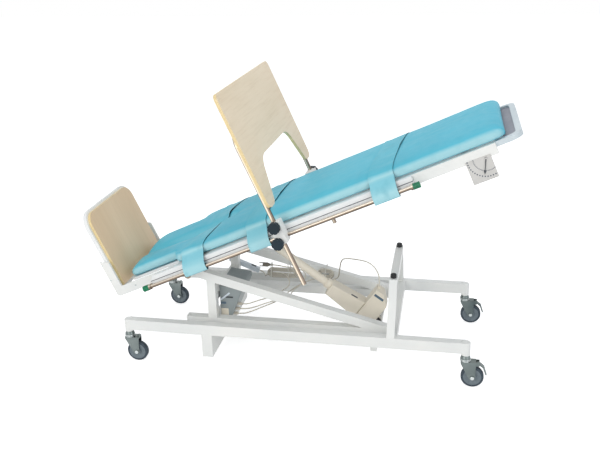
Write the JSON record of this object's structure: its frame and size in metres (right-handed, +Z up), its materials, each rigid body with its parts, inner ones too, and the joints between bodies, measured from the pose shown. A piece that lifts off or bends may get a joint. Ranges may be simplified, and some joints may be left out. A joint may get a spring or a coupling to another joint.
{
  "type": "physiotherapy tilt table",
  "caption": "Motor-driven tilting treatment table with padded top, straps, foot panel, clamped tray board and a wheeled tube frame.",
  "frame": {"origin": "on the floor, midway between the four castor stems", "axes": "+X from the foot end to the head end, +Y to the far side, +Z up"},
  "size_m": [1.9484, 0.8246, 1.3124],
  "materials": {
    "white_paint": "smooth semi-gloss white powder coat",
    "chrome_steel": "polished plated steel",
    "zinc_steel": "bright zinc-plated steel",
    "beige_plastic": "fine-grained light beige moulding",
    "grey_plastic": "light grey moulding",
    "panel_grey": "mid-grey panel",
    "knob_plastic": "dark blue-grey moulding",
    "green_plastic": "ribbed green cap",
    "cord_plastic": "grey-beige PVC sheath",
    "dark_plastic": "dark grey moulding",
    "tie_plastic": "white nylon",
    "rubber_black": "black rubber",
    "wheel_rubber": "grey rubber tread",
    "turquoise_vinyl": "turquoise upholstery vinyl",
    "strap_vinyl": "turquoise coated webbing",
    "birch_wood": "pale birch plywood, clear lacquer",
    "white_board": "white laminated board",
    "scale_face": "white scale plate"
  },
  "bodies": {
    "base_frame": {"base_rails": "white_paint", "transom": "white_paint", "inner_beams": "white_paint", "braces": "white_paint", "left_posts": "white_paint", "rest_portal": "white_paint", "rest_bumpers": "rubber_black", "tilt_axle": "chrome_steel", "bearing_plates": "white_paint", "foot_crossbar": "white_paint", "foot_bracket": "rubber_black", "control_box": "grey_plastic", "cord_plugs": "beige_plastic", "handset": "grey_plastic", "supply_hank": "cord_plastic", "supply_lead": "cord_plastic", "mains_plug": "dark_plastic", "handset_lead": "cord_plastic", "motor_lead": "cord_plastic", "motor_lead_bunch": "cord_plastic", "cable_ties": "tie_plastic"},
    "tabletop": {"table_frame": "white_paint", "deck": "white_board", "head_frame": "white_paint", "head_panel": "panel_grey", "mattress": "turquoise_vinyl", "side_strips": "white_paint", "side_rods": "chrome_steel", "rod_brackets": "chrome_steel", "rod_caps": "green_plastic", "straps": "strap_vinyl", "scale_plate": "scale_face"},
    "actuator_body": {"motor_housing": "beige_plastic", "gear_housing": "beige_plastic", "actuator_tube": "beige_plastic"},
    "actuator_piston": {"actuator_rod": "chrome_steel", "rod_eye_pin": "chrome_steel"},
    "tilt_pointer": {"pointer": "dark_plastic"},
    "footrest": {"footrest_legs": "white_paint", "foot_backing": "white_board", "foot_panel": "birch_wood", "footrest_screws": "zinc_steel"},
    "tray_carriage": {"tray_clamps": "white_paint"},
    "tray": {"tray_tube": "chrome_steel", "tray_board": "birch_wood"},
    "rocker": {"handset_rocker": "knob_plastic"},
    "knob_near_upper": {"knob_near_upper": "knob_plastic"},
    "knob_near_lower": {"knob_near_lower": "knob_plastic"},
    "knob_far_upper": {"knob_far_upper": "knob_plastic"},
    "knob_far_lower": {"knob_far_lower": "knob_plastic"},
    "caster_near_left_fork": {"caster_fork_near_left": "zinc_steel"},
    "caster_near_left_wheel": {"caster_wheel_near_left": "wheel_rubber"},
    "caster_far_left_fork": {"caster_fork_far_left": "zinc_steel"},
    "caster_far_left_wheel": {"caster_wheel_far_left": "wheel_rubber"},
    "caster_near_right_fork": {"caster_fork_near_right": "zinc_steel"},
    "caster_near_right_wheel": {"caster_wheel_near_right": "wheel_rubber"},
    "caster_near_right_pedal": {"brake_pedal_near_right": "zinc_steel"},
    "caster_far_right_fork": {"caster_fork_far_right": "zinc_steel"},
    "caster_far_right_wheel": {"caster_wheel_far_right": "wheel_rubber"},
    "caster_far_right_pedal": {"brake_pedal_far_right": "zinc_steel"}
  },
  "joints": [
    {"name": "tabletop_tilt", "type": "hinge", "parent": "base_frame", "child": "tabletop", "pos_m": [-0.477, 0, 0.44694], "axis": [0, -1, 0], "range_deg": [-24, 56]},
    {"name": "actuator_swing", "type": "hinge", "parent": "base_frame", "child": "actuator_body", "pos_m": [0.368, 0, 0.144], "axis": [0, -1, 0], "range_deg": [-7.1, 3.1]},
    {"name": "rod_slide", "type": "slide", "parent": "actuator_body", "child": "actuator_piston", "axis": [-0.8183, 0, 0.5747], "range_m": [-0.1095, 0.2549]},
    {"name": "pointer_swing", "type": "hinge", "parent": "tabletop", "child": "tilt_pointer", "pos_m": [0.81345, -0.3047, 1.04466], "axis": [0, -1, 0], "range_deg": [-56.5, 24.5]},
    {"name": "footrest_slide", "type": "slide", "parent": "tabletop", "child": "footrest", "axis": [-0.9135, 0, -0.4068], "range_m": [-0.015, 0.06]},
    {"name": "tray_carriage_slide", "type": "slide", "parent": "tabletop", "child": "tray_carriage", "axis": [0.9135, 0, 0.4068], "range_m": [-0.02, 0.38]},
    {"name": "tray_height_slide", "type": "slide", "parent": "tray_carriage", "child": "tray", "axis": [-0.4068, 0, 0.9135], "range_m": [-0.06, 0.19]},
    {"name": "handset_rocker_tilt", "type": "hinge", "parent": "base_frame", "child": "rocker", "pos_m": [-0.30678, 0.247, 0.27107], "axis": [0, -1, 0], "range_deg": [-5, 5], "stiffness_Nm_per_rad": 0.2},
    {"name": "knob_near_upper_turn", "type": "hinge", "parent": "tray_carriage", "child": "knob_near_upper", "pos_m": [-0.03769, -0.4, 0.74112], "axis": [0, -1, 0], "continuous": true},
    {"name": "knob_near_lower_turn", "type": "hinge", "parent": "tray_carriage", "child": "knob_near_lower", "pos_m": [-0.02341, -0.4, 0.66975], "axis": [0, -1, 0], "continuous": true},
    {"name": "knob_far_upper_turn", "type": "hinge", "parent": "tray_carriage", "child": "knob_far_upper", "pos_m": [-0.01211, 0.4, 0.75251], "axis": [0, 1, 0], "continuous": true},
    {"name": "knob_far_lower_turn", "type": "hinge", "parent": "tray_carriage", "child": "knob_far_lower", "pos_m": [0.00216, 0.4, 0.68114], "axis": [0, 1, 0], "continuous": true},
    {"name": "caster_near_left_swivel", "type": "hinge", "parent": "base_frame", "child": "caster_near_left_fork", "pos_m": [-0.779, -0.3055, 0.15], "axis": [0, 0, 1], "continuous": true},
    {"name": "caster_near_left_roll", "type": "hinge", "parent": "caster_near_left_fork", "child": "caster_near_left_wheel", "pos_m": [-0.746, -0.3055, 0.05], "axis": [0, 1, 0], "continuous": true},
    {"name": "caster_far_left_swivel", "type": "hinge", "parent": "base_frame", "child": "caster_far_left_fork", "pos_m": [-0.779, 0.3055, 0.15], "axis": [0, 0, 1], "continuous": true},
    {"name": "caster_far_left_roll", "type": "hinge", "parent": "caster_far_left_fork", "child": "caster_far_left_wheel", "pos_m": [-0.746, 0.3055, 0.05], "axis": [0, 1, 0], "continuous": true},
    {"name": "caster_near_right_swivel", "type": "hinge", "parent": "base_frame", "child": "caster_near_right_fork", "pos_m": [0.779, -0.3055, 0.15], "axis": [0, 0, 1], "continuous": true},
    {"name": "caster_near_right_roll", "type": "hinge", "parent": "caster_near_right_fork", "child": "caster_near_right_wheel", "pos_m": [0.812, -0.3055, 0.05], "axis": [0, 1, 0], "continuous": true},
    {"name": "caster_near_right_brake", "type": "hinge", "parent": "caster_near_right_fork", "child": "caster_near_right_pedal", "pos_m": [0.834, -0.3055, 0.116], "axis": [0, -1, 0], "range_deg": [0, 15]},
    {"name": "caster_far_right_swivel", "type": "hinge", "parent": "base_frame", "child": "caster_far_right_fork", "pos_m": [0.779, 0.3055, 0.15], "axis": [0, 0, 1], "continuous": true},
    {"name": "caster_far_right_roll", "type": "hinge", "parent": "caster_far_right_fork", "child": "caster_far_right_wheel", "pos_m": [0.812, 0.3055, 0.05], "axis": [0, 1, 0], "continuous": true},
    {"name": "caster_far_right_brake", "type": "hinge", "parent": "caster_far_right_fork", "child": "caster_far_right_pedal", "pos_m": [0.834, 0.3055, 0.116], "axis": [0, -1, 0], "range_deg": [0, 15]}
  ],
  "couplings": [
    {"joint": "actuator_swing", "follows": "tabletop_tilt", "ratio": -0.12588},
    {"joint": "rod_slide", "follows": "tabletop_tilt", "m_per_rad": 0.26033},
    {"joint": "pointer_swing", "follows": "tabletop_tilt", "ratio": -1}
  ]
}
